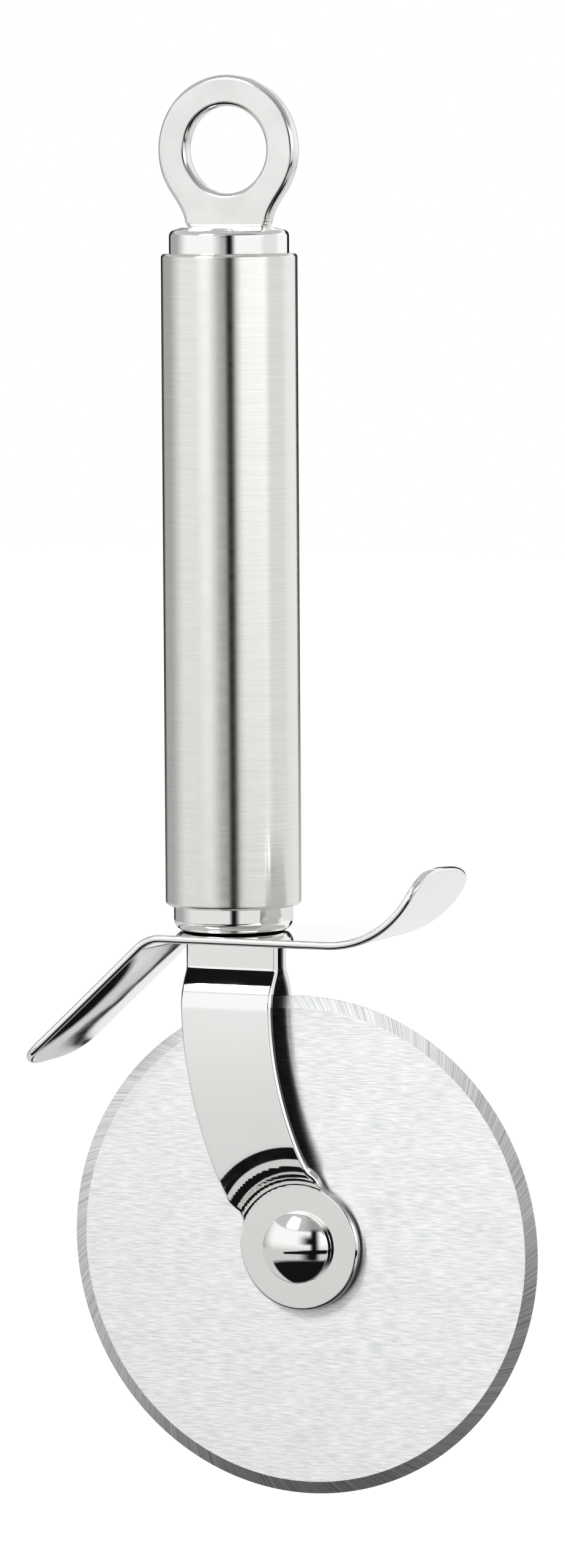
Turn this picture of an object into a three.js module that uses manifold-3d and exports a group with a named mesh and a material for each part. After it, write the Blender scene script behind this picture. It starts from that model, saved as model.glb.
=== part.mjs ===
// A pizza wheel: a steel tube handle with a hanging ring at its top and, at its foot, a bent finger
// guard and a fork of two joggled arms that carries a bevelled cutting wheel on a two-piece rivet.
// Millimetres. +Z runs up the handle, +X lies in the plane of the wheel, +Y runs along the axle to the
// rear. The origin is the centre of the hanging ring's hole, on the handle's axis.
import * as THREE from "three";
import { mergeVertices } from "three/addons/utils/BufferGeometryUtils.js";
import Module from "manifold-3d";

// Hanging ring
const ringHoleRadius = 6.35;
const ringBandWidth = 4.55;
const ringThickness = 2.6;
const ringEdgeRound = 1.2;
const ringNeckAngle = 36; // degrees below the horizontal where the neck leaves the circle
const ringNeckReach = 3; // how far the neck runs on along the tangent before it turns down
const ringNeckWidth = 13.4;
const ringNeckHeight = 0.25; // from the lowest point of the circle to the top cap
const ringTangWidth = 8;
const ringTangLength = 11;
const ringPinRadius = 1;

// Handle tube
const tubeLength = 95.6;
const tubeRadius = 10;
const tubeWall = 1.6;
const tubeEdgeRound = 0.6;

// End caps
const collarLap = 0.4; // how far a collar laps over the end of the tube wall
const topCollarHeight = 3.9;
const topCollarCrown = 0.7; // rise from the collar's rounded edge to the ring's seat
const bottomCollarHeight = 3.8;
const collarEdgeRound = 1;
const ringSeatMargin = 0.2;
const spigotLength = 14;
const pinRecess = 0.6; // how far the ends of a cross pin stay inside the spigot

// Finger guard
const guardSheet = 1.2;
const guardWidth = 21.2;
const guardLeftFlat = 7.4; // from the handle's axis to the start of each bend
const guardRightFlat = 19.1;
const leftBendRadius = 5.1;
const leftBendAngle = 43;
const leftWingLength = 27.1; // straight part after the bend, with the tip
const leftTipLength = 5.6;
const rightBendRadius = 15;
const rightBendAngle = 75;
const rightTipLength = 5.6;
const tipPower = 3; // roundness of the wing tips, 2 is an ellipse
const tipEndShare = 0.3; // half width left at the very end of a wing, as a share of the full one

// Fork arms
const forkOffset = 0.35; // the neck's centre line, right of the handle's axis
const armWidth = 14.4; // at the neck
const armFootWidth = 13.7; // where the curve ends
const armSheet = 1.4;
const neckGap = 1.6; // between the two necks
const neckLength = 4.2; // from the guard to the outward joggle
const outwardDepth = 2.1;
const outwardHollow = 0.9; // height over which the joggle bends out, and then back to upright
const outwardRound = 5.2;
const bowDepth = 0.3; // of the slight bow that carries the span further out
const bowHollow = 3;
const bowRound = 19;
const armStraight = 8.4; // from the guard to the start of the in-plane curve
const armReach = 11; // the axle, right of the handle's axis
const armMeetsLeft = 2.85; // end of the curve, left of the axle and above it
const armMeetsAbove = 6.8;
const bossRadius = 9.45;
const dishShare = 0.4; // share of the inward joggle that is a wide dish; the rest is a narrow step
const dishHollow = 1.3;
const dishRound = 4.6;
const stepOffset = 0.85; // from the boss to the narrow step
const stepBend = 0.95; // width of each of the two bends of the step
const tangWidth = 10;
const tangLength = 12; // from the guard's underside up into the bottom cap
const forkPinRadius = 1.2;

// Cutting wheel and its axle
const wheelRadius = 36.95;
const wheelThickness = 1;
const bevelWidth = 1.8;
const cuttingEdge = 0.15;
const wheelTopGap = 8.1; // from the guard's underside to the wheel's rim
const washerThickness = 0.25;
const washerRadius = 6;
const bushWall = 1;
const shankRadius = 2;
const shankWall = 0.9;
const domeRadius = 5.25;
const domeHeight = 2.9;
const domeRim = 1.25; // height of the straight rim below the dome

// Clearances
const seatGap = 0.1; // between faces that are pressed or clamped together
const fitGap = 0.1; // round a spigot, a tang or a pin in its hole
const runningGap = 0.05; // between the wheel and what it turns on

// Facets
const roundSides = 48;
const smallSides = 24;
const rimSides = 96;
const edgeSteps = 3;
const curveSteps = 12;
const ringSteps = 20;
const armRowLength = 0.8;
const armColumns = 9;
const stationSpacing = 0.1; // least distance between two rows of points along a wing
const mergeDistance = 1e-4; // points closer than this are one

// Places that follow from the sizes
const ringRadius = ringHoleRadius + ringBandWidth;
const capTop = -ringRadius - ringNeckHeight;
const tubeTop = capTop - topCollarHeight;
const tubeBottom = tubeTop - tubeLength;
const guardTop = tubeBottom - bottomCollarHeight;
const guardBottom = guardTop - guardSheet;
const axleHeight = guardBottom - wheelTopGap - wheelRadius;
const collarRadius = tubeRadius - tubeWall + collarLap;
const spigotRadius = tubeRadius - tubeWall - fitGap;
const bushRadius = shankRadius + fitGap + bushWall;
const bossDepth = wheelThickness / 2 + runningGap + washerThickness + seatGap;
const neckDepth = neckGap / 2;
const headSeat = bossDepth + armSheet + seatGap;
const cutLength = 2 * tubeRadius; // long enough to cut through any piece of the handle or fork

const wasm = await Module();
wasm.setup();

// Closed triangle mesh as a solid that can be cut and joined.
function solidOf(geometry) {
  const bare = new THREE.BufferGeometry();
  bare.setAttribute("position", geometry.getAttribute("position"));
  bare.setIndex(geometry.index);
  const merged = mergeVertices(bare, mergeDistance);
  const vertProperties = merged.getAttribute("position").array;
  const triVerts = new Uint32Array(merged.index.array);
  return new wasm.Manifold(new wasm.Mesh({ numProp: 3, vertProperties, triVerts }));
}

function geometryOf(solid) {
  const mesh = solid.getMesh();
  const geometry = new THREE.BufferGeometry();
  geometry.setAttribute("position", new THREE.BufferAttribute(mesh.vertProperties, 3));
  geometry.setIndex(new THREE.BufferAttribute(mesh.triVerts, 1));
  geometry.computeVertexNormals();
  return geometry;
}

// Body of revolution about Y from pairs of radius and height, listed from low to high on the outside.
function turned(profile, sides) {
  return new THREE.LatheGeometry(
    profile.map(([radius, height]) => new THREE.Vector2(radius, height)),
    sides,
  );
}

// The same body with its axis along Z.
function turnedUpright(profile, sides) {
  return turned(profile, sides).rotateX(Math.PI / 2);
}

// Points of a quarter round from one angle to another, in degrees.
function quarterRound(centreRadius, centreHeight, radius, fromDegrees, toDegrees) {
  const points = [];
  for (let step = 0; step <= edgeSteps; step++) {
    const angle = THREE.MathUtils.degToRad(fromDegrees + ((toDegrees - fromDegrees) * step) / edgeSteps);
    points.push([centreRadius + radius * Math.cos(angle), centreHeight + radius * Math.sin(angle)]);
  }
  return points;
}

function block(width, depth, height, x, y, z) {
  return new THREE.BoxGeometry(width, depth, height).translate(x, y, z);
}

// Round bar along Y, centred on the given place.
function crossBar(radius, length, x, z) {
  return new THREE.CylinderGeometry(radius, radius, length, smallSides).translate(x, 0, z);
}

// Closed slab from a grid of places: place(row, column, face) gives a point on face 0 or face 1.
function slab(rows, columns, place, turnOver) {
  const positions = [];
  const index = [];
  const across = columns + 1;
  const faceCount = (rows + 1) * across;
  for (const face of [0, 1]) {
    for (let row = 0; row <= rows; row++) {
      for (let column = 0; column <= columns; column++) positions.push(...place(row, column, face));
    }
  }
  const at = (row, column, face) => face * faceCount + row * across + column;
  const quad = (a, b, c, d) => index.push(...(turnOver ? [a, c, b, a, d, c] : [a, b, c, a, c, d]));
  for (let row = 0; row < rows; row++) {
    for (let column = 0; column < columns; column++) {
      quad(at(row, column, 0), at(row, column + 1, 0), at(row + 1, column + 1, 0), at(row + 1, column, 0));
      quad(at(row, column, 1), at(row + 1, column, 1), at(row + 1, column + 1, 1), at(row, column + 1, 1));
    }
    quad(at(row, 0, 0), at(row + 1, 0, 0), at(row + 1, 0, 1), at(row, 0, 1));
    quad(at(row, columns, 0), at(row, columns, 1), at(row + 1, columns, 1), at(row + 1, columns, 0));
  }
  for (let column = 0; column < columns; column++) {
    quad(at(0, column, 0), at(0, column, 1), at(0, column + 1, 1), at(0, column + 1, 0));
    quad(at(rows, column, 0), at(rows, column + 1, 0), at(rows, column + 1, 1), at(rows, column, 1));
  }
  const geometry = new THREE.BufferGeometry();
  geometry.setAttribute("position", new THREE.Float32BufferAttribute(positions, 3));
  geometry.setIndex(index);
  return geometry;
}

// Flat ring with rounded edges, a flared neck and a tang that goes down into the top cap.
function hangingRing() {
  const below = THREE.MathUtils.degToRad(ringNeckAngle);
  const leaveX = ringRadius * Math.cos(below);
  const leaveZ = -ringRadius * Math.sin(below);
  const turnX = leaveX - ringNeckReach * Math.sin(below);
  const turnZ = leaveZ - ringNeckReach * Math.cos(below);
  const shoulder = capTop + seatGap;
  const foot = shoulder - ringEdgeRound;
  const outline = new THREE.Shape();
  outline.moveTo(-ringNeckWidth / 2, foot);
  outline.lineTo(ringNeckWidth / 2, foot);
  outline.lineTo(ringNeckWidth / 2, shoulder);
  outline.quadraticCurveTo(turnX, turnZ, leaveX, leaveZ);
  outline.absarc(0, 0, ringRadius, -below, Math.PI + below, false);
  outline.quadraticCurveTo(-turnX, turnZ, -ringNeckWidth / 2, shoulder);
  const hole = new THREE.Path();
  hole.absarc(0, 0, ringHoleRadius, 0, 2 * Math.PI, true);
  outline.holes.push(hole);
  const plate = new THREE.ExtrudeGeometry(outline, {
    depth: ringThickness - 2 * ringEdgeRound,
    curveSegments: ringSteps,
    bevelThickness: ringEdgeRound,
    bevelSize: ringEdgeRound,
    bevelOffset: -ringEdgeRound,
    bevelSegments: edgeSteps,
  });
  plate.translate(0, 0, ringEdgeRound - ringThickness / 2).rotateX(Math.PI / 2);
  const flatSoled = solidOf(plate).trimByPlane([0, 0, 1], shoulder);
  const tangTop = shoulder + ringBandWidth / 2;
  const tangHeight = ringTangLength + ringBandWidth / 2;
  const tang = block(ringTangWidth, ringThickness, tangHeight, 0, 0, tangTop - tangHeight / 2);
  const pinHole = crossBar(ringPinRadius + fitGap, cutLength, 0, ringPinHeight());
  return geometryOf(flatSoled.add(solidOf(tang)).subtract(solidOf(pinHole)));
}

function ringPinHeight() {
  return capTop - topCollarHeight - ringPinRadius * 2 - fitGap;
}

function ringTangPin() {
  return crossBar(ringPinRadius, 2 * (spigotRadius - pinRecess), 0, ringPinHeight());
}

// Collar with a rounded, slightly crowned top and a spigot in the tube, slotted for the ring's tang.
function topEndCap() {
  const seatRadius = Math.hypot(ringNeckWidth, ringThickness) / 2 + ringSeatMargin;
  const edgeHeight = capTop - topCollarCrown - collarEdgeRound;
  const body = turnedUpright(
    [
      [0, tubeTop - spigotLength],
      [spigotRadius, tubeTop - spigotLength],
      [spigotRadius, tubeTop + seatGap],
      [collarRadius, tubeTop + seatGap],
      ...quarterRound(collarRadius - collarEdgeRound, edgeHeight, collarEdgeRound, 0, 90),
      [seatRadius, capTop],
      [0, capTop],
    ],
    roundSides,
  );
  const slotDepth = 2 * (ringTangLength + fitGap);
  const slot = block(ringTangWidth + 2 * fitGap, ringThickness + 2 * fitGap, slotDepth, 0, 0, capTop);
  const pinHole = crossBar(ringPinRadius + fitGap, cutLength, 0, ringPinHeight());
  return geometryOf(solidOf(body).subtract(solidOf(slot)).subtract(solidOf(pinHole)));
}

// Straight tube with rounded outer edges.
function handleTube() {
  const bore = tubeRadius - tubeWall;
  const rounding = tubeRadius - tubeEdgeRound;
  return turnedUpright(
    [
      [bore, tubeBottom],
      ...quarterRound(rounding, tubeBottom + tubeEdgeRound, tubeEdgeRound, -90, 0),
      ...quarterRound(rounding, tubeTop - tubeEdgeRound, tubeEdgeRound, 0, 90),
      [bore, tubeTop],
      [bore, tubeBottom],
    ],
    roundSides,
  );
}

// Room for both arm tangs through the guard and the bottom cap.
function tangSlot(height) {
  const depth = neckGap + 2 * armSheet + 2 * fitGap;
  return block(tangWidth + 2 * fitGap, depth, height, forkOffset, 0, guardBottom);
}

function forkPinHeight() {
  return guardBottom + tangLength - 2 * forkPinRadius - fitGap;
}

function forkPin() {
  const chord = Math.sqrt(spigotRadius ** 2 - forkOffset ** 2);
  return crossBar(forkPinRadius, 2 * (chord - pinRecess), forkOffset, forkPinHeight());
}

// Collar with a rounded lower edge that stands on the guard, and a spigot in the tube.
function bottomEndCap() {
  const seat = guardTop + seatGap;
  const body = turnedUpright(
    [
      [0, seat],
      ...quarterRound(collarRadius - collarEdgeRound, seat + collarEdgeRound, collarEdgeRound, -90, 0),
      [collarRadius, tubeBottom - seatGap],
      [spigotRadius, tubeBottom - seatGap],
      [spigotRadius, tubeBottom + spigotLength],
      [0, tubeBottom + spigotLength],
    ],
    roundSides,
  );
  const pinHole = crossBar(forkPinRadius + fitGap, cutLength, forkOffset, forkPinHeight());
  const slot = tangSlot(2 * (tangLength + fitGap));
  return geometryOf(solidOf(body).subtract(solidOf(slot)).subtract(solidOf(pinHole)));
}

// One station of a wing's middle surface: how far along, where, its slope, and half the width there.
function wingStation(along, side, flat, radius, bend, length, tipLength) {
  const turn = Math.min(along / radius, bend);
  const onward = Math.max(along - radius * bend, 0);
  const reach = radius * Math.sin(turn) + onward * Math.cos(turn);
  const rise = radius * (1 - Math.cos(turn)) + onward * Math.sin(turn);
  const intoTip = Math.max((along - length + tipLength) / tipLength, 0);
  const halfWidth = (guardWidth / 2) * (1 - intoTip ** tipPower) ** (1 / tipPower);
  return { x: side * (flat + reach), rise, slope: turn, halfWidth };
}

// Stations along one wing, close together where it bends and where its tip narrows.
function wingStations(side, flat, radius, bendDegrees, straight, tipLength) {
  const bend = THREE.MathUtils.degToRad(bendDegrees);
  const length = radius * bend + straight;
  const end = length - tipLength + tipLength * (1 - tipEndShare ** tipPower) ** (1 / tipPower);
  const places = [];
  for (let step = 0; step <= curveSteps; step++) {
    places.push((radius * bend * step) / curveSteps);
    const towardsTip = 1 - (1 - step / curveSteps) ** 2;
    places.push(length - tipLength + (end - length + tipLength) * towardsTip);
  }
  const along = places.filter((place) => place <= end).sort((a, b) => a - b);
  const distinct = along.filter((place, i) => i === 0 || place - along[i - 1] > stationSpacing);
  distinct[distinct.length - 1] = end;
  return distinct.map((place) => wingStation(place, side, flat, radius, bend, length, tipLength));
}

// Sheet bent down to the left and curled up to the right, with rounded tips and a slot for the tangs.
function fingerGuard() {
  const right = wingStations(1, guardRightFlat, rightBendRadius, rightBendAngle, 0, rightTipLength);
  const left = wingStations(
    -1,
    guardLeftFlat,
    leftBendRadius,
    leftBendAngle,
    leftWingLength,
    leftTipLength,
  );
  const dropped = left.map((station) => ({ ...station, rise: -station.rise }));
  const stations = [...dropped.reverse(), ...right];
  const middle = guardTop - guardSheet / 2;
  const place = (row, column, face) => {
    const { x, rise, slope, halfWidth } = stations[row];
    const offset = (face - 0.5) * guardSheet;
    const y = (2 * column - 1) * halfWidth;
    return [x - Math.sin(slope) * offset, y, middle + rise + Math.cos(slope) * offset];
  };
  const sheet = slab(stations.length - 1, 1, place, false);
  return geometryOf(solidOf(sheet).subtract(solidOf(tangSlot(cutLength))));
}

// Share of a joggle's depth that is reached at a distance, over one bend and then the bend back.
function joggle(distance, hollow, round) {
  const length = hollow + round;
  const gone = THREE.MathUtils.clamp(distance, 0, length);
  if (gone < hollow) return gone ** 2 / (length * hollow);
  return 1 - (length - gone) ** 2 / (length * round);
}

// How far an arm's inner face stands from the wheel's middle plane, at a place seen from the axle.
function armDepth(x, z) {
  const belowGuard = guardBottom - axleHeight - z;
  const bow = bowDepth * joggle(belowGuard - neckLength, bowHollow, bowRound);
  const outward = outwardDepth * joggle(belowGuard - neckLength, outwardHollow, outwardRound);
  const pastBoss = Math.hypot(x, z) - bossRadius;
  const dish = joggle(pastBoss, dishHollow, dishRound);
  const step = joggle(pastBoss - stepOffset, stepBend, stepBend);
  const risen = THREE.MathUtils.lerp(step, dish, dishShare);
  return THREE.MathUtils.lerp(bossDepth, neckDepth + bow + outward, risen);
}

// Centre line of an arm, seen from the axle: straight down, round a curve and on until abreast of the axle.
function armCentreLine() {
  const startX = forkOffset - armReach;
  const curveZ = guardBottom - armStraight - axleHeight;
  const overX = -armMeetsLeft - startX;
  const downZ = curveZ - armMeetsAbove;
  const radius = (overX ** 2 + downZ ** 2) / (2 * overX);
  const turn = 2 * Math.atan2(overX, downZ);
  const straight = armStraight - seatGap;
  const curve = radius * turn;
  const onward = armMeetsLeft * Math.sin(turn) + armMeetsAbove * Math.cos(turn);
  const rows = Math.ceil((straight + curve + onward) / armRowLength);
  const points = [];
  for (let row = 0; row <= rows; row++) {
    const along = ((straight + curve + onward) * row) / rows - straight;
    const angle = THREE.MathUtils.clamp(along / radius, 0, turn);
    const before = Math.min(along, 0);
    const after = Math.max(along - curve, 0);
    points.push({
      x: startX + radius * (1 - Math.cos(angle)) + after * Math.sin(angle),
      z: curveZ - before - radius * Math.sin(angle) - after * Math.cos(angle),
      angle,
      width: THREE.MathUtils.lerp(armWidth, armFootWidth, angle / turn),
    });
  }
  return points;
}

// Strip from the guard to the axle with its round boss and tang. Side is -1 in front and 1 at the rear.
function forkArm(side) {
  const line = armCentreLine();
  const place = (row, column, face) => {
    const across = line[row].width * (column / armColumns - 0.5);
    const x = line[row].x + across * Math.cos(line[row].angle);
    const z = line[row].z + across * Math.sin(line[row].angle);
    return [x, side * (armDepth(x, z) + face * armSheet), z];
  };
  const strip = slab(line.length - 1, armColumns, place, side > 0);
  const bossMiddle = side * (bossDepth + armSheet / 2);
  const boss = new THREE.CylinderGeometry(bossRadius, bossRadius, armSheet, roundSides);
  boss.translate(0, bossMiddle, 0);
  const neckTop = guardBottom - axleHeight - seatGap;
  const tangHeight = tangLength + seatGap + neckLength / 2;
  const tangX = forkOffset - armReach;
  const tangY = side * (neckDepth + armSheet / 2);
  const tangZ = neckTop + seatGap + tangLength - tangHeight / 2;
  const tang = block(tangWidth, armSheet, tangHeight, tangX, tangY, tangZ);
  const pinHole = crossBar(forkPinRadius + fitGap, cutLength, tangX, forkPinHeight() - axleHeight);
  const shankHole = crossBar(shankRadius + fitGap, cutLength, 0, 0);
  const whole = solidOf(strip).add(solidOf(boss)).add(solidOf(tang));
  return geometryOf(whole.subtract(solidOf(pinHole)).subtract(solidOf(shankHole)));
}

// Disc with a bore for the bush and a ground bevel on both sides.
function cuttingWheel() {
  const bore = bushRadius + runningGap;
  const half = wheelThickness / 2;
  const bevelStart = wheelRadius - bevelWidth;
  return turned(
    [
      [bore, -half],
      [bevelStart, -half],
      [wheelRadius, -cuttingEdge / 2],
      [wheelRadius, cuttingEdge / 2],
      [bevelStart, half],
      [bore, half],
      [bore, -half],
    ],
    rimSides,
  );
}

// Sleeve on the rivet's shank, as long as the space between the two bosses.
function wheelBush() {
  const half = bossDepth - seatGap;
  const bore = shankRadius + fitGap;
  return turned(
    [
      [bore, -half],
      [bushRadius, -half],
      [bushRadius, half],
      [bore, half],
      [bore, -half],
    ],
    smallSides,
  );
}

// Thin ring between the wheel and one arm.
function washer(side) {
  const inner = bushRadius + fitGap;
  const low = wheelThickness / 2 + runningGap;
  const middle = side * (low + washerThickness / 2);
  const half = washerThickness / 2;
  return turned(
    [
      [inner, middle - half],
      [washerRadius, middle - half],
      [washerRadius, middle + half],
      [inner, middle + half],
      [inner, middle - half],
    ],
    smallSides,
  );
}

// Outline of a domed head from its rim to its crown, counted outwards from its seat.
function domeOutline() {
  const bulge = domeHeight - domeRim;
  const sphere = (domeRadius ** 2 + bulge ** 2) / (2 * bulge);
  const widest = Math.asin(Math.min(domeRadius / sphere, 1));
  const points = [[domeRadius, 0]];
  for (let step = 0; step <= 2 * edgeSteps; step++) {
    const angle = widest * (1 - step / (2 * edgeSteps));
    points.push([sphere * Math.sin(angle), domeHeight - sphere * (1 - Math.cos(angle))]);
  }
  return points;
}

// Front half of the rivet: a dome with a hollow shank through both arms.
function axleRivet() {
  const dome = domeOutline().reverse();
  const hollow = shankRadius - shankWall;
  return turned(
    [
      ...dome.map(([radius, height]) => [radius, -headSeat - height]),
      [shankRadius, -headSeat],
      [shankRadius, headSeat - seatGap],
      [hollow, headSeat - seatGap],
      [hollow, -bossDepth],
      [0, -bossDepth],
    ],
    smallSides,
  );
}

// Rear half of the rivet: a dome with a stud in the hollow shank.
function rivetCap() {
  const stud = shankRadius - shankWall - fitGap;
  return turned(
    [
      [0, seatGap - bossDepth],
      [stud, seatGap - bossDepth],
      [stud, headSeat],
      ...domeOutline().map(([radius, height]) => [radius, headSeat + height]),
    ],
    smallSides,
  );
}

const finishes = {
  satin: { color: 0xc9c9c7, roughness: 0.38, metalness: 1 },
  polished: { color: 0xd9dadb, roughness: 0.08, metalness: 1 },
  brushed: { color: 0xe3e4e4, roughness: 0.3, metalness: 1 },
  plain: { color: 0xb5b6b8, roughness: 0.3, metalness: 1 },
  nylon: { color: 0xe6e3da, roughness: 0.6, metalness: 0 },
};

function piece(name, geometry, finish) {
  const mesh = new THREE.Mesh(geometry, new THREE.MeshStandardMaterial(finishes[finish]));
  mesh.name = name;
  return mesh;
}

const handle = new THREE.Group();
handle.add(
  piece("hanging_ring", hangingRing(), "polished"),
  piece("ring_tang_pin", ringTangPin(), "plain"),
  piece("top_end_cap", topEndCap(), "polished"),
  piece("handle_tube", handleTube(), "satin"),
  piece("bottom_end_cap", bottomEndCap(), "polished"),
  piece("fork_pin", forkPin(), "plain"),
  piece("finger_guard", fingerGuard(), "polished"),
);

const fork = new THREE.Group();
fork.position.set(armReach, 0, axleHeight);
fork.add(
  piece("front_arm", forkArm(-1), "polished"),
  piece("rear_arm", forkArm(1), "polished"),
  piece("cutting_wheel", cuttingWheel(), "brushed"),
  piece("wheel_bush", wheelBush(), "plain"),
  piece("front_washer", washer(-1), "nylon"),
  piece("rear_washer", washer(1), "nylon"),
  piece("axle_rivet", axleRivet(), "polished"),
  piece("rivet_cap", rivetCap(), "polished"),
);

const pizzaWheel = new THREE.Group();
pizzaWheel.add(handle, fork);

export default pizzaWheel;
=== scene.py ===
"""Looks of a pizza wheel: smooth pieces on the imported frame, steel finishes and a plain white studio.

Every piece that shows is a fresh mesh with rounded edges and true normals, in the place of its node of the frame.
Sizes are in millimetres until a piece is made, and then in metres. The front of the object faces -Y.
"""
import logging
import math
from abc import ABC, abstractmethod
from dataclasses import dataclass, field
from enum import Enum
from typing import Any, Callable, Sequence

import bpy
import numpy as np
from mathutils import Matrix, Vector
from mathutils.geometry import delaunay_2d_cdt


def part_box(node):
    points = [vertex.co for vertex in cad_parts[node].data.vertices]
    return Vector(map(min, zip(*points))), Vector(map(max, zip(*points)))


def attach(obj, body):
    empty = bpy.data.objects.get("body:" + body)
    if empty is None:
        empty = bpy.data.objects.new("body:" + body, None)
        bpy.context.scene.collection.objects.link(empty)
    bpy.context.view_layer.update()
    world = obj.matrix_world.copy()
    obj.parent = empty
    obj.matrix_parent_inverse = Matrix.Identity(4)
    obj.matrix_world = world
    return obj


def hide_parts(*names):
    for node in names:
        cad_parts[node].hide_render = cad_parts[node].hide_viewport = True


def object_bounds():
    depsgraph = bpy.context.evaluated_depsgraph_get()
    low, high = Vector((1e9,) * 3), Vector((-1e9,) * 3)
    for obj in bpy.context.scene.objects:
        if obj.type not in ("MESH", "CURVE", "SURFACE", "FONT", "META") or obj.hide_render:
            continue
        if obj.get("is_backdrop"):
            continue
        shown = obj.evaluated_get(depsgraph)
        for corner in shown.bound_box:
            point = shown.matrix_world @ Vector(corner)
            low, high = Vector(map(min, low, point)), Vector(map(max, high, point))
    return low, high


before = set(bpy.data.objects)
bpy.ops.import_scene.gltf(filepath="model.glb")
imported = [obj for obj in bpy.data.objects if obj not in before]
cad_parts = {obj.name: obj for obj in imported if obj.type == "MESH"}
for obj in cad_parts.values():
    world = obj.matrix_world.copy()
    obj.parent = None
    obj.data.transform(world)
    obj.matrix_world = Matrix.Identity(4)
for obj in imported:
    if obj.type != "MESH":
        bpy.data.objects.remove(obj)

MM = 0.001
SEAT_GAP = 0.1  # clearance that the frame leaves between clamped faces
NOISE_SPAN = {"From Min": 0.3, "From Max": 0.7}  # where most of a noise lies
FULL_SPAN = {"From Min": 0.0, "From Max": 1.0}
MIX_FACTOR, MIX_FIRST, MIX_SECOND, MIX_RESULT = 0, 6, 7, 2  # sockets of a mix of two colours
QUARTER_TURN = 0.25  # lays the smear of a brushed mirror across its hairlines
WHEEL_LAYOUT = "pattern"  # layout of the marks on the wheel
SLOPE_STEP = 0.01  # length over which the slope of a form is taken
ON_AXIS = 1e-6  # radius up to which a point lies on the axis of a turned form
SAME_POINT = 1e-7  # distance up to which points of a blank are one

log = logging.getLogger("pizza_wheel")

Form = Callable[[float, float], Vector]  # place of a point of a flat blank once it is bent
PathPoint = tuple[Vector, Vector]  # place and outward normal
Pieces = dict[str, bpy.types.Object]  # by the node that each one replaces


class Body(Enum):
    """Moving bodies of the frame."""

    FRAME = "frame"
    WHEEL = "wheel"


class Slot(Enum):
    """Material slots of the record."""

    POLISHED = "polished_steel"
    SATIN = "satin_steel"
    WHEEL = "wheel_steel"
    PLAIN = "plain_steel"
    NYLON = "washer_nylon"


class Side(Enum):
    """Side of the wheel that an arm or a rivet head is on, as the sign of its Y."""

    FRONT = -1
    REAR = 1


class Axis(Enum):
    """Axis of a turned form, as the two directions that span its rings."""

    UP = ((1, 0, 0), (0, 1, 0))
    FRONT = ((1, 0, 0), (0, 0, 1))
    REAR = ((0, 0, 1), (1, 0, 0))


def linear(colour: str) -> tuple[float, float, float, float]:
    """Turn an sRGB hex colour into linear light.

    Args:
        colour: Six hex digits.

    Returns:
        Red, green, blue and an alpha of 1.
    """
    shares = [int(colour[i : i + 2], 16) / 255 for i in (0, 2, 4)]
    red, green, blue = (s / 12.92 if s <= 0.04045 else ((s + 0.055) / 1.055) ** 2.4 for s in shares)
    return red, green, blue, 1.0


def add_node(
    tree: bpy.types.NodeTree, kind: str, inputs: dict[str | int, Any] | None = None, **settings: Any
) -> bpy.types.Node:
    """Add a shader node with its settings and links.

    Args:
        tree: Node tree that gets the node.
        kind: Type name of the node.
        inputs: Socket name or number, with its value or the output that is linked to it.
        settings: Properties of the node itself.

    Returns:
        The new node.
    """
    node = tree.nodes.new(kind)
    for name, value in settings.items():
        setattr(node, name, value)
    for key, value in (inputs or {}).items():
        if isinstance(value, bpy.types.NodeSocket):
            tree.links.new(value, node.inputs[key])
        else:
            node.inputs[key].default_value = value
    return node


def empty_material(name: str) -> bpy.types.Material:
    """Make a material with an empty node tree.

    Args:
        name: Name of the material.

    Returns:
        The material.
    """
    material = bpy.data.materials.new(name)
    material.use_nodes = True
    material.node_tree.nodes.clear()
    return material


def linked(name: str, data: bpy.types.ID) -> bpy.types.Object:
    """Make an object and link it to the scene.

    Args:
        name: Name of the object.
        data: Its mesh, lamp or camera.

    Returns:
        The object.
    """
    made = bpy.data.objects.new(name, data)
    bpy.context.scene.collection.objects.link(made)
    return made


def node_box(node: str) -> tuple[Vector, Vector]:
    """Give the lowest and highest corner of a frame node, in millimetres."""
    low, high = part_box(node)
    return low / MM, high / MM


def unit(angle: float) -> Vector:
    """Give the direction at an angle from the first axis of a plane."""
    return Vector((math.cos(angle), math.sin(angle)))


def ease(share: float) -> float:
    """Step smoothly from 0 to 1."""
    t = min(max(share, 0.0), 1.0)
    return t * t * (3 - 2 * t)


def joggle(distance: float, hollow: float, rounded: float) -> float:
    """Give the share of a joggle's depth that is reached over one bend and then the bend back.

    Args:
        distance: Distance from the start of the joggle.
        hollow: Length of the first bend.
        rounded: Length of the bend back.

    Returns:
        Share from 0 to 1.
    """
    length = hollow + rounded
    gone = min(max(distance, 0.0), length)
    if gone < hollow:
        return gone**2 / (length * hollow)
    return 1 - (length - gone) ** 2 / (length * rounded)


def inside(points: np.ndarray, loops: Sequence[np.ndarray]) -> np.ndarray:
    """Test which points lie inside closed loops, by counting the edges to one side of them.

    Args:
        points: Points in rows of two.
        loops: Closed loops; a loop inside another one is a hole.

    Returns:
        One truth value for each point.
    """
    odd = np.zeros(len(points), bool)
    for loop in loops:
        for (x1, y1), (x2, y2) in zip(loop, np.roll(loop, -1, axis=0)):
            crosses = (y1 > points[:, 1]) != (y2 > points[:, 1])
            if y1 != y2:
                odd ^= crosses & (points[:, 0] < x1 + (points[:, 1] - y1) * (x2 - x1) / (y2 - y1))
    return odd


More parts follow.
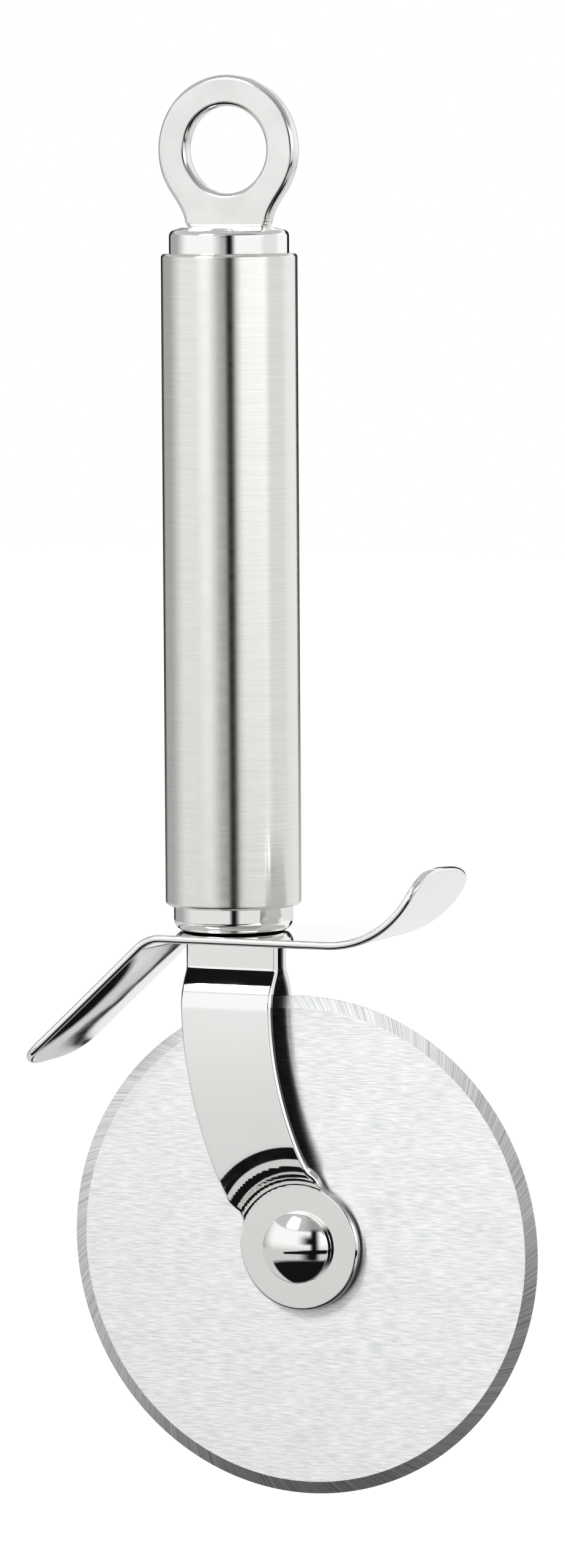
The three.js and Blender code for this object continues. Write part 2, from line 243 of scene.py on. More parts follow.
def rounded_path(corners: Sequence[tuple[float, float, float]], closed: bool, steps: int = 8) -> list[PathPoint]:
    """Lead a path through corners and turn each corner into an arc.

    Args:
        corners: Radius, height and rounding of each corner, with the outside on the path's right.
        closed: Whether the path returns to its first corner.
        steps: Parts of each arc.

    Returns:
        Points of the path, each with its outward normal.
    """
    places = [Vector(corner[:2]) for corner in corners]
    path: list[PathPoint] = []
    for i, place in enumerate(places):
        ends_here = not closed and i in (0, len(places) - 1)
        before = (place - places[i - 1]).normalized()
        after = (places[(i + 1) % len(places)] - place).normalized()
        if ends_here:
            along = after if i == 0 else before
            path.append((place, Vector((along.y, -along.x))))
            continue
        turn = math.atan2(before.x * after.y - before.y * after.x, before.dot(after))
        radius = math.copysign(corners[i][2], turn)
        start = place - before * abs(radius) * math.tan(abs(turn) / 2)
        centre = start - Vector((before.y, -before.x)) * radius
        heading = math.atan2(-before.x, before.y)
        for step in range(steps + 1):
            angle = heading + turn * step / steps
            normal = unit(angle)
            path.append((centre + normal * radius, normal))
    return path


@dataclass
class Shape:
    """Points, true normals and faces of one closed form, in millimetres."""

    points: list[Vector] = field(default_factory=list)
    normals: list[Vector] = field(default_factory=list)
    faces: list[tuple[int, ...]] = field(default_factory=list)

    def add(self, point: Vector, normal: Vector) -> int:
        """Add a point with its normal and give its number.

        Args:
            point: Place of the point.
            normal: Direction out of the form there.

        Returns:
            Number of the point.
        """
        self.points.append(point)
        self.normals.append(normal.normalized())
        return len(self.points) - 1

    def piece(self, name: str) -> bpy.types.Object:
        """Make a smooth object of the shape.

        Args:
            name: Name of the object and its mesh.

        Returns:
            The object, in metres, linked to the scene.
        """
        mesh = bpy.data.meshes.new(name)
        mesh.from_pydata([point * MM for point in self.points], [], self.faces)
        mesh.polygons.foreach_set("use_smooth", [True] * len(self.faces))
        mesh.normals_split_custom_set_from_vertices(self.normals)
        return linked(name, mesh)


def turned(path: Sequence[PathPoint], closed: bool, axis: Axis, centre: Vector, sides: int) -> Shape:
    """Turn a path about an axis.

    Args:
        path: Points with radius and height, and their outward normals.
        closed: Whether the path returns to its first point.
        axis: Axis of the form.
        centre: Place of radius 0 and height 0.
        sides: Parts of each ring.

    Returns:
        The turned form.
    """
    first, second = (Vector(direction) for direction in axis.value)
    along = first.cross(second)
    shape = Shape()
    rings: list[list[int]] = []
    for place, normal in path:
        ring = []
        apart = place.x > ON_AXIS
        for side in range(sides if apart else 1):
            angle = 2 * math.pi * side / sides
            out = first * math.cos(angle) + second * math.sin(angle)
            point = centre + out * place.x + along * place.y
            ring.append(shape.add(point, out * normal.x * apart + along * normal.y))
        rings.append(ring)
    for low, high in zip(rings, rings[1:] + rings[:1] if closed else rings[1:]):
        for side in range(sides):
            corners = [low[side % len(low)], low[(side + 1) % len(low)]]
            corners += [high[(side + 1) % len(high)], high[side % len(high)]]
            shape.faces.append(tuple(dict.fromkeys(corners)))
    return shape


@dataclass
class Blank:
    """Flat sheet blank with rounded edges, from which a bent piece is formed."""

    outline: list[Vector]
    thickness: float
    edge_round: float
    hole: list[Vector] = field(default_factory=list)
    spacing: tuple[float, float] | None = None
    edge_steps: int = 5

    def formed(self, form: Form) -> Shape:
        """Bend the blank to its place.

        Args:
            form: Gives the place of a point of the blank's middle surface.

        Returns:
            The formed sheet, closed, with rounded edges.
        """
        shape = Shape()
        rims = [rim for rim in (self.outline, self.hole) if rim]
        levels = self._levels()
        inset, edges, lower, upper, loops = [], [], [], [], []
        for rim in rims:
            count = len(rim)
            normals = [self._outward(rim, i) for i in range(count)]
            rows = [
                [self._place(shape, form, place - out * depth, height, out, angle) for place, out in zip(rim, normals)]
                for depth, height, angle in levels
            ]
            for low, high in zip(rows, rows[1:]):
                shape.faces += [(low[i - 1], low[i], high[i], high[i - 1]) for i in range(count)]
            edges += [(len(inset) + i, len(inset) + (i + 1) % count) for i in range(count)]
            loops.append(np.array([place - out * self.edge_round for place, out in zip(rim, normals)]))
            inset += [Vector(place) for place in loops[-1]]
            lower += rows[0]
            upper += rows[-1]
        level, quarter = Vector((0, 0)), math.pi / 2
        for place in self._inner(loops):
            inset.append(place)
            lower.append(self._place(shape, form, place, -self.thickness / 2, level, -quarter))
            upper.append(self._place(shape, form, place, self.thickness / 2, level, quarter))
        for a, b, c in self._triangles(inset, edges, loops):
            shape.faces += [(upper[a], upper[b], upper[c]), (lower[a], lower[c], lower[b])]
        return shape

    def _levels(self) -> list[tuple[float, float, float]]:
        """List inset, height and slope round the rounded edge, from the lower face to the upper one.

        Returns:
            Inset and height in millimetres and slope in radians, one row for each step.
        """
        levels = []
        for side in (-1, 1):
            for step in range(self.edge_steps + 1):
                angle = math.pi / 2 * (step / self.edge_steps - (side < 0))
                height = side * (self.thickness / 2 - self.edge_round) + self.edge_round * math.sin(angle)
                levels.append((self.edge_round * (1 - math.cos(angle)), height, angle))
        return levels

    @staticmethod
    def _outward(rim: Sequence[Vector], i: int) -> Vector:
        """Give the direction out of the sheet at a point of a rim, longer at a corner to keep the inset even.

        Args:
            rim: Closed rim.
            i: Number of the point.

        Returns:
            Direction in the plane of the blank.
        """
        before = (rim[i] - rim[i - 1]).normalized()
        after = (rim[(i + 1) % len(rim)] - rim[i]).normalized()
        along = (before + after) / (1 + before.dot(after))
        return Vector((along.y, -along.x))

    @staticmethod
    def _place(shape: Shape, form: Form, place: Vector, height: float, out: Vector, angle: float) -> int:
        """Add a point of the formed sheet.

        Args:
            shape: Shape that gets the point.
            form: Gives the place of a point of the middle surface.
            place: Point of the flat blank.
            height: Distance from the middle surface.
            out: Direction out of the sheet in the flat blank.
            angle: Slope of the surface from that direction to the upper face's normal.

        Returns:
            Number of the point.
        """
        u, v = place
        along_u = (form(u + SLOPE_STEP, v) - form(u - SLOPE_STEP, v)) / (2 * SLOPE_STEP)
        along_v = (form(u, v + SLOPE_STEP) - form(u, v - SLOPE_STEP)) / (2 * SLOPE_STEP)
        face = along_u.cross(along_v).normalized()
        edge = (along_u * out.x + along_v * out.y).normalized()
        return shape.add(form(u, v) + face * height, edge * math.cos(angle) + face * math.sin(angle))

    def _inner(self, loops: Sequence[np.ndarray]) -> list[Vector]:
        """Spread points over the blank that carry the form between its edges.

        Args:
            loops: Rims of the flat face.

        Returns:
            Points that keep clear of the rims.
        """
        if not self.spacing:
            return []
        low, high = loops[0].min(axis=0), loops[0].max(axis=0)
        grid = np.meshgrid(*(np.arange(low[i], high[i], self.spacing[i]) for i in (0, 1)))
        points = np.stack([axis.ravel() for axis in grid], axis=1)
        points = points[inside(points, loops)]
        rims = np.concatenate(loops)
        clear = [np.hypot(*(rims - point).T).min() > min(self.spacing) / 2 for point in points]
        return [Vector(point) for point in points[clear]]

    @staticmethod
    def _triangles(
        points: list[Vector], edges: list[tuple[int, int]], loops: Sequence[np.ndarray]
    ) -> list[tuple[int, int, int]]:
        """Fill the sheet's face with triangles.

        Args:
            points: Points of the face.
            edges: Pairs of points along the rims.
            loops: Rims of the face.

        Returns:
            Triangles as point numbers, counter-clockwise.
        """
        places, _, found, sources, _, _ = delaunay_2d_cdt(points, edges, [], 0, SAME_POINT)
        flat = np.array(places)
        corners = np.array(found)
        kept = corners[inside(flat[corners].mean(axis=1), loops)]
        return [tuple(sources[corner][0] for corner in triangle) for triangle in kept]


@dataclass(frozen=True)
class Marks:
    """Marks that the making of a piece leaves on its surface, drawn by a noise."""

    size: tuple[float, float, float]  # real size of a mark along X, Y and Z
    detail: float
    height: float = 0.0  # of their relief, where it shows
    layout: str = "Object"  # coordinates in which they lie

    def pattern(self, tree: bpy.types.NodeTree) -> bpy.types.NodeSocket:
        """Add the nodes that draw the marks.

        Args:
            tree: Node tree of the material.

        Returns:
            Pattern of the marks, from 0 to 1.
        """
        place = add_node(tree, "ShaderNodeTexCoord").outputs[self.layout]
        per_metre = tuple(1 / (size * MM) for size in self.size)
        scaled = add_node(tree, "ShaderNodeMapping", {"Vector": place, "Scale": per_metre})
        noise = {"Vector": scaled.outputs[0], "Scale": 1.0, "Detail": self.detail}
        return add_node(tree, "ShaderNodeTexNoise", noise).outputs[0]


class Finish:
    """Surface finish that is made once and shared by the pieces that have it.

    One kind of marks shades the colour between two tones, and the same or another kind shades the roughness.
    """

    name: str
    slot: Slot
    tones: tuple[str, str]
    shading: Marks
    span: dict[str, float] = NOISE_SPAN  # part of the shading over which the colour goes from tone to tone
    roughness: tuple[float, float]
    blurring: Marks
    metallic: float = 1.0

    def __init__(self) -> None:
        """Make the material and its nodes."""
        self.material = empty_material(self.name)
        tree = self.material.node_tree
        patterns = {marks: marks.pattern(tree) for marks in dict.fromkeys((self.shading, self.blurring))}
        share = add_node(tree, "ShaderNodeMapRange", {"Value": patterns[self.shading], **self.span})
        dark, light = (linear(tone) for tone in self.tones)
        mixed = {MIX_FACTOR: share.outputs[0], MIX_FIRST: dark, MIX_SECOND: light}
        colour = add_node(tree, "ShaderNodeMix", mixed, data_type="RGBA")
        smooth, rough = self.roughness
        blur = {"Value": patterns[self.blurring], **NOISE_SPAN, "To Min": smooth, "To Max": rough}
        roughness = add_node(tree, "ShaderNodeMapRange", blur)
        surface = {
            "Base Color": colour.outputs[MIX_RESULT],
            "Metallic": self.metallic,
            "Roughness": roughness.outputs[0],
            **self.sheen(tree),
        }
        for marks, pattern in patterns.items():
            if marks.height:
                relief = {"Height": pattern, "Distance": marks.height * MM, "Strength": 1.0}
                surface["Normal"] = add_node(tree, "ShaderNodeBump", relief).outputs["Normal"]
        shader = add_node(tree, "ShaderNodeBsdfPrincipled", surface)
        add_node(tree, "ShaderNodeOutputMaterial", {"Surface": shader.outputs[0]})

    def sheen(self, tree: bpy.types.NodeTree) -> dict[str, Any]:
        """Give the shader inputs that only this finish has."""
        return {}


class BrushedSteel(Finish):
    """Stainless steel with hairlines, which smears what it mirrors across them."""

    smear: float
    hairlines: dict[str, str]  # settings of the node that follows the hairlines

    def sheen(self, tree: bpy.types.NodeTree) -> dict[str, Any]:
        """Smear the mirror across the hairlines."""
        along = add_node(tree, "ShaderNodeTangent", **self.hairlines).outputs["Tangent"]
        return {"Anisotropic": self.smear, "Anisotropic Rotation": QUARTER_TURN, "Tangent": along}


class MirrorPolishedSteel(Finish):
    """Stainless steel, buffed to a mirror after pressing.

    Buffing leaves a bright neutral mirror that waves a little, with faint smears that only soften it.
    """

    name = "stainless_mirror_polished"
    slot = Slot.POLISHED
    tones = ("f6f6f4", "fafaf9")
    shading = Marks((8.0,) * 3, 1.0, height=0.004)
    span = FULL_SPAN
    roughness = (0.035, 0.06)
    blurring = Marks((2.5,) * 3, 4.0)


class TumbledSteel(Finish):
    """Stainless plate, tumbled among stones after punching.

    Tumbling rounds the edges and leaves a pearly mirror that is softer and a little greyer than buffed steel.
    """

    name = "stainless_tumbled"
    slot = Slot.POLISHED
    tones = ("e2e2e0", "eeeeec")
    shading = Marks((7.0,) * 3, 2.0)
    roughness = (0.1, 0.15)
    # the stones' marks are finer, drawn coarser so that they show
    blurring = Marks((0.3,) * 3, 2.0, height=0.0006)


class RolledSteelPaintedShade(Finish):
    """Stainless sheet as it comes from the rolling mill, darkened with painted shade.

    The inner faces of the fork are out of the buff's reach and stay a dull grey; their tone is set much darker than
    bare steel, as painted shade for the narrow gap between the arms and the wheel.
    """

    name = "stainless_rolled_painted_shade"
    slot = Slot.POLISHED
    # dark tones: a dull rolled grey plus painted shade for the gap by the wheel
    tones = ("77787a", "8b8c8d")
    shading = blurring = Marks((1.2, 1.2, 6.0), 3.0)
    span = FULL_SPAN
    roughness = (0.24, 0.34)


class SatinTubeSteel(BrushedSteel):
    """Stainless tube, brushed round and round on a belt.

    The hairlines run round the tube, so that it mirrors sharply across and smears up and down, in a warm grey.
    """

    name = "stainless_satin_brushed"
    slot = Slot.SATIN
    tones = ("eceae6", "f6f5f2")
    # real hairlines are about 0.03 mm wide, drawn wider so that they show
    shading = Marks((9.0, 9.0, 0.14), 3.0, height=0.0008)
    roughness = (0.2, 0.24)
    blurring = Marks((30.0, 30.0, 1.1), 2.0)
    smear = 0.9
    hairlines = {"direction_type": "RADIAL", "axis": "Z"}


class BrushedWheelSteel(BrushedSteel):
    """Hardened stainless strip, brushed in the rolling direction before the disc is cut.

    Short straight hairlines along one direction give a bright, cool, even sheen that still mirrors what is close.
    """

    name = "stainless_strip_brushed"
    slot = Slot.WHEEL
    tones = ("dce0df", "ffffff")
    # real hairlines are about 0.05 mm wide, drawn wider so that they show
    shading = Marks((2.4, 5.0, 0.2), 1.5, height=0.0026)
    roughness = (0.28, 0.32)
    blurring = Marks((7.0, 7.0, 1.6), 2.0)
    smear = 0.95
    hairlines = {"direction_type": "UV_MAP", "uv_map": WHEEL_LAYOUT}


class GroundBevelSteel(Finish):
    """Bevel of the same strip, ground on a wheel that runs slantwise over the edge.

    The grit leaves slanting strokes, lighter and darker, in a duller grey than the face.
    """

    name = "stainless_bevel_ground"
    slot = Slot.WHEEL
    tones = ("b8baba", "f6f7f7")
    # grit strokes are about 0.1 mm wide, drawn wider so that they show
    shading = blurring = Marks((0.26,) * 3, 3.0, height=0.014, layout="UV")
    roughness = (0.26, 0.36)


class TurnedSteel(Finish):
    """Free-cutting steel, turned on a lathe and left plain.

    Fine tool marks make it a duller grey than the sheet pieces.
    """

    name = "steel_turned"
    slot = Slot.PLAIN
    tones = ("b4b5b7", "c6c7c8")
    shading = blurring = Marks((4.0, 0.3, 4.0), 2.0)
    span = FULL_SPAN
    roughness = (0.25, 0.35)


class MouldedNylon(Finish):
    """Nylon, injection moulded and unfilled.

    It is a milky off-white with a soft, slightly waxy gloss.
    """

    name = "nylon_moulded"
    slot = Slot.NYLON
    tones = ("dedad0", "ebe8df")
    shading = blurring = Marks((1.2,) * 3, 2.0)
    span = FULL_SPAN
    roughness = (0.4, 0.5)
    metallic = 0.0

    def sheen(self, tree: bpy.types.NodeTree) -> dict[str, Any]:
        """Give the gloss of nylon."""
        return {"IOR": 1.53}


@dataclass(frozen=True)
class Finishes:
    """The finishes of the object."""

    mirror: Finish = field(default_factory=MirrorPolishedSteel)
    tumbled: Finish = field(default_factory=TumbledSteel)
    # dull rolled grey, darkened with painted shade, for the fork's inner faces
    rolled_painted_shade: Finish = field(default_factory=RolledSteelPaintedShade)
    satin: Finish = field(default_factory=SatinTubeSteel)
    brushed: Finish = field(default_factory=BrushedWheelSteel)
    ground: Finish = field(default_factory=GroundBevelSteel)
    turned: Finish = field(default_factory=TurnedSteel)
    nylon: Finish = field(default_factory=MouldedNylon)


class SubAssembly(ABC):
    """Pieces that belong together and ride on one body."""

    body = Body.FRAME

    @abstractmethod
    def build(self) -> Pieces:
        """Build the pieces and give them by the name of the node that each one replaces.

        Returns:
            Pieces by node.
        """

    @abstractmethod
    def dress(self, pieces: Pieces, finishes: Finishes) -> None:
        """Give the pieces their finishes.

        Args:
            pieces: Pieces by node.
            finishes: Finishes of the object.
        """

    def set_up(self, finishes: Finishes) -> None:
        """Build and dress the pieces and put them on their body.

        Args:
            finishes: Finishes of the object.
        """
        pieces = self.build()
        self.dress(pieces, finishes)
        for node, piece in pieces.items():
            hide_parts(node)
            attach(piece, self.body.value)
            log.info("%s on %s, %d faces", piece.name, self.body.value, len(piece.data.polygons))

    @staticmethod
    def finish(piece: bpy.types.Object, *finishes: Finish) -> None:
        """Put finishes on a piece, the first one at material index 0.

        Args:
            piece: Piece to finish.
            finishes: Its finishes, in the order of its material indices.
        """
        piece.data.materials.clear()
        for finish in finishes:
            piece.data.materials.append(finish.material)


@dataclass
class HangingRing(SubAssembly):
    """Flat ring with rounded edges, whose flared neck stands on the top cap."""

    hole_radius: float = 6.35
    edge_round: float = 0.8
    neck_angle: float = 36.0  # below the middle, at which the neck leaves the ring, in degrees
    neck_reach: float = 3.0  # how far the neck goes straight on before it flares
    neck_width: float = 13.4  # at the foot, on the cap
    sunk: float = 0.35  # how far the neck's foot goes down into its seat
    foot_round: float = 1.3
    steps: int = 120
    neck_steps: int = 25

    def build(self) -> Pieces:
        """Build the ring from a flat blank with a round hole.

        Returns:
            The ring by its node.
        """
        low, high = node_box("hanging_ring")
        seat = node_box("top_end_cap")[1].z
        outline = self._outline(high.x, seat)
        angles = np.linspace(0, 2 * math.pi, self.steps, endpoint=False)
        hole = [unit(-angle) * self.hole_radius for angle in angles]
        blank = Blank(outline, high.y - low.y, self.edge_round, hole)
        return {"hanging_ring": blank.formed(lambda u, v: Vector((u, 0, v))).piece("hanging_ring_tumbled")}

    def _outline(self, radius: float, seat: float) -> list[Vector]:
        """Draw the ring with its neck, counter-clockwise.

        Args:
            radius: Outer radius of the ring.
            seat: Height at which the neck meets the cap.

        Returns:
            Points of the closed outline.
        """
        half, foot = self.neck_width / 2, seat - self.sunk
        ankle = foot + self.foot_round
        sole = [(-half, ankle, 0), (-half, foot, self.foot_round), (half, foot, self.foot_round), (half, ankle, 0)]
        hidden = [point for point, _ in rounded_path(sole, False)]
        below = math.radians(self.neck_angle)
        leave = unit(-below) * radius
        turn = leave - Vector((math.sin(below), math.cos(below))) * self.neck_reach
        end = Vector((half, ankle))
        shares = np.linspace(0, 1, self.neck_steps)
        neck = [leave * (1 - t) ** 2 + turn * 2 * t * (1 - t) + end * t * t for t in shares]
        arc = [unit(angle) * radius for angle in np.linspace(-below, math.pi + below, self.steps)]
        mirrored = [Vector((-point.x, point.y)) for point in neck]
        return hidden[:-1] + neck[:0:-1] + arc + mirrored[1:-1]

    def dress(self, pieces: Pieces, finishes: Finishes) -> None:
        """Tumble the ring."""
        self.finish(pieces["hanging_ring"], finishes.tumbled)


@dataclass
class Handle(SubAssembly):
    """Satin tube between two polished caps."""

    tube_wall: float = 1.6
    tube_round: float = 0.6
    cap_radius: float = 8.8
    cap_round: float = 1.0
    collar_round: float = 1.8
    cap_crown: float = 0.7  # how much lower the top cap's edge is than its middle
    ring_seat: float = 7.0  # radius of the flat that carries the ring
    spigot_radius: float = 8.3
    hidden_round: float = 0.05  # of edges that don't show
    sides: int = 160

    def build(self) -> Pieces:
        """Turn the tube and both caps.

        Returns:
            Tube and caps by their nodes.
        """
        return {
            "handle_tube": self._tube().piece("handle_tube_satin"),
            "top_end_cap": self._top_cap().piece("top_cap_polished"),
            "bottom_end_cap": self._bottom_cap().piece("bottom_cap_polished"),
        }

    def _tube(self) -> Shape:
        """Turn the tube, with its outer edges rounded.

        Returns:
            The tube's shape.
        """
        low, high = node_box("handle_tube")
        bore, inner = high.x - self.tube_wall, self.hidden_round
        corners = [
            (bore, low.z, inner),
            (high.x, low.z, self.tube_round),
            (high.x, high.z, self.tube_round),
            (bore, high.z, inner),
        ]
        return turned(rounded_path(corners, True), True, Axis.UP, Vector(), self.sides)

    def _top_cap(self) -> Shape:
        """Turn the top cap, crowned towards the ring's seat, with its spigot in the tube.

        Returns:
            The cap's shape.
        """
        low, high = node_box("top_end_cap")
        tube_end = node_box("handle_tube")[1].z
        edge = high.z - self.cap_crown
        corners = [
            (0, low.z, 0),
            (self.spigot_radius, low.z, self.hidden_round),
            (self.spigot_radius, tube_end, self.hidden_round),
            (self.cap_radius, tube_end, self.hidden_round),
            (self.cap_radius, edge, self.cap_round),
            (self.ring_seat, high.z - SEAT_GAP, self.cap_round),
            (0, high.z, 0),
        ]
        return turned(rounded_path(corners, False), False, Axis.UP, Vector(), self.sides)

    def _bottom_cap(self) -> Shape:
        """Turn the bottom cap, rounded towards the guard, with its spigot in the tube.

        Returns:
            The cap's shape.
        """
        low, high = node_box("bottom_end_cap")
        tube_end = node_box("handle_tube")[0].z
        corners = [
            (0, low.z - SEAT_GAP, 0),
            (self.cap_radius, low.z - SEAT_GAP, self.collar_round),
            (self.cap_radius, tube_end, self.hidden_round),
            (self.spigot_radius, tube_end, self.hidden_round),
            (self.spigot_radius, high.z, self.hidden_round),
            (0, high.z, 0),
        ]
        return turned(rounded_path(corners, False), False, Axis.UP, Vector(), self.sides)

    def dress(self, pieces: Pieces, finishes: Finishes) -> None:
        """Brush the tube and polish the caps.

        Args:
            pieces: Tube and caps.
            finishes: Finishes of the object.
        """
        self.finish(pieces["handle_tube"], finishes.satin)
        for cap in ("top_end_cap", "bottom_end_cap"):
            self.finish(pieces[cap], finishes.mirror)


@dataclass(frozen=True)
class Wing:
    """One wing of the guard: a flat part, a bend and a straight part with a rounded tip."""

    flat: float  # length from the handle's axis to the bend
    bend_radius: float
    bend_angle: float  # degrees
    straight: float  # length past the bend
    tip: float  # length of the rounded tip
    sign: int  # -1 for the wing that bends down to the left, 1 for the one that curls up to the right
    skew: float = 0.0  # how much further the tip's front corner reaches than its middle
    crown: float = 0.0  # how far the middle of the wing stands over its edges
    crown_run: float = 14.0  # length over which the crown rises, and falls again
    crown_power: float = 3.0  # how flat the crown is across the wing
    row: float = 0.5  # distance of the points along the straight edges

    @property
    def length(self) -> float:
        """Length of the wing along the sheet, from the handle's axis to its tip."""
        return self.flat + self.bend_radius * math.radians(self.bend_angle) + self.straight

    def place(self, along: float, across: float) -> tuple[float, float]:
        """Give the place of the sheet's middle at a length along the wing.

        Args:
            along: Length from the handle's axis.
            across: Distance from the middle line, as a share of half the width.

        Returns:
            Sideways place and height over the flat part.
        """
        past = max(along - self.flat, 0)
        turn = min(past / self.bend_radius, math.radians(self.bend_angle))
        onward = past - self.bend_radius * turn
        reach = self.bend_radius * math.sin(turn) + onward * math.cos(turn)
        rise = self.bend_radius * (1 - math.cos(turn)) + onward * math.sin(turn)
        swell = ease((along - self.flat) / self.crown_run) * ease((self.length - along) / self.crown_run)
        lift = self.crown * swell * (1 - abs(across) ** self.crown_power)
        sideways = self.sign * (min(along, self.flat) + reach) - lift * math.sin(turn)
        return sideways, self.sign * rise + lift * math.cos(turn)

    def outline(self, half_width: float, power: float, steps: int) -> list[Vector]:
        """Draw the outline of the flat wing, from its front edge round the tip to its rear edge.

        Args:
            half_width: Half the width of the sheet.
            power: Roundness of the tip, where 2 is an ellipse.
            steps: Points along the tip.

        Returns:
            Points with the length along the sheet and the distance from its middle line.
        """
        start = self.length - self.tip
        front = [Vector((along, -half_width)) for along in np.arange(0, start, self.row)]
        rear = [Vector((point.x, half_width)) for point in reversed(front)]
        round_tip = []
        for angle in np.linspace(-math.pi / 2, math.pi / 2, steps):
            across = math.copysign(abs(math.sin(angle)) ** (2 / power), angle)
            reach = self.tip * max(math.cos(angle), 0) ** (2 / power) - self.skew * across * math.cos(angle)
            round_tip.append(Vector((start + reach, half_width * across)))
        return front + round_tip + rear


@dataclass
class FingerGuard(SubAssembly):
    """Bent sheet that stops the fingers: one wing down to the left, one curled up to the right."""

    left: Wing = Wing(7.4, 5.1, 43.0, 27.05, 5.55, -1, crown=-0.34)
    right: Wing = Wing(19.1, 15.0, 74.8, 0.0, 5.55, 1, skew=0.7)
    sheet: float = 1.2
    edge_round: float = 0.5
    edge_room: float = 0.05  # left at the long edges, which the crown tilts a little outwards
    tip_power: float = 3.0  # roundness of the tips, where 2 is an ellipse
    tip_steps: int = 80
    spacing: tuple[float, float] = (0.6, 1.9)

    def build(self) -> Pieces:
        """Build the guard from its flat blank.

        Returns:
            The guard by its node.
        """
        half = node_box("finger_guard")[1].y - self.edge_room
        middle = node_box("bottom_end_cap")[0].z - SEAT_GAP - self.sheet / 2

        def form(along: float, across: float) -> Vector:
            """Bend a point of the blank to its place.

            Args:
                along: Length from the handle's axis, left of it below 0.
                across: Distance from the middle line.

            Returns:
                Place of the sheet's middle.
            """
            wing = self.left if along < 0 else self.right
            sideways, rise = wing.place(abs(along), across / half)
            return Vector((sideways, across, middle + rise))

        left = self.left.outline(half, self.tip_power, self.tip_steps)
        right = self.right.outline(half, self.tip_power, self.tip_steps)
        outline = right + [Vector((-point.x, point.y)) for point in left[-2:0:-1]]
        blank = Blank(outline, self.sheet, self.edge_round, spacing=self.spacing)
        return {"finger_guard": blank.formed(form).piece("finger_guard_polished")}

    def dress(self, pieces: Pieces, finishes: Finishes) -> None:
        """Polish the guard."""
        self.finish(pieces["finger_guard"], finishes.mirror)


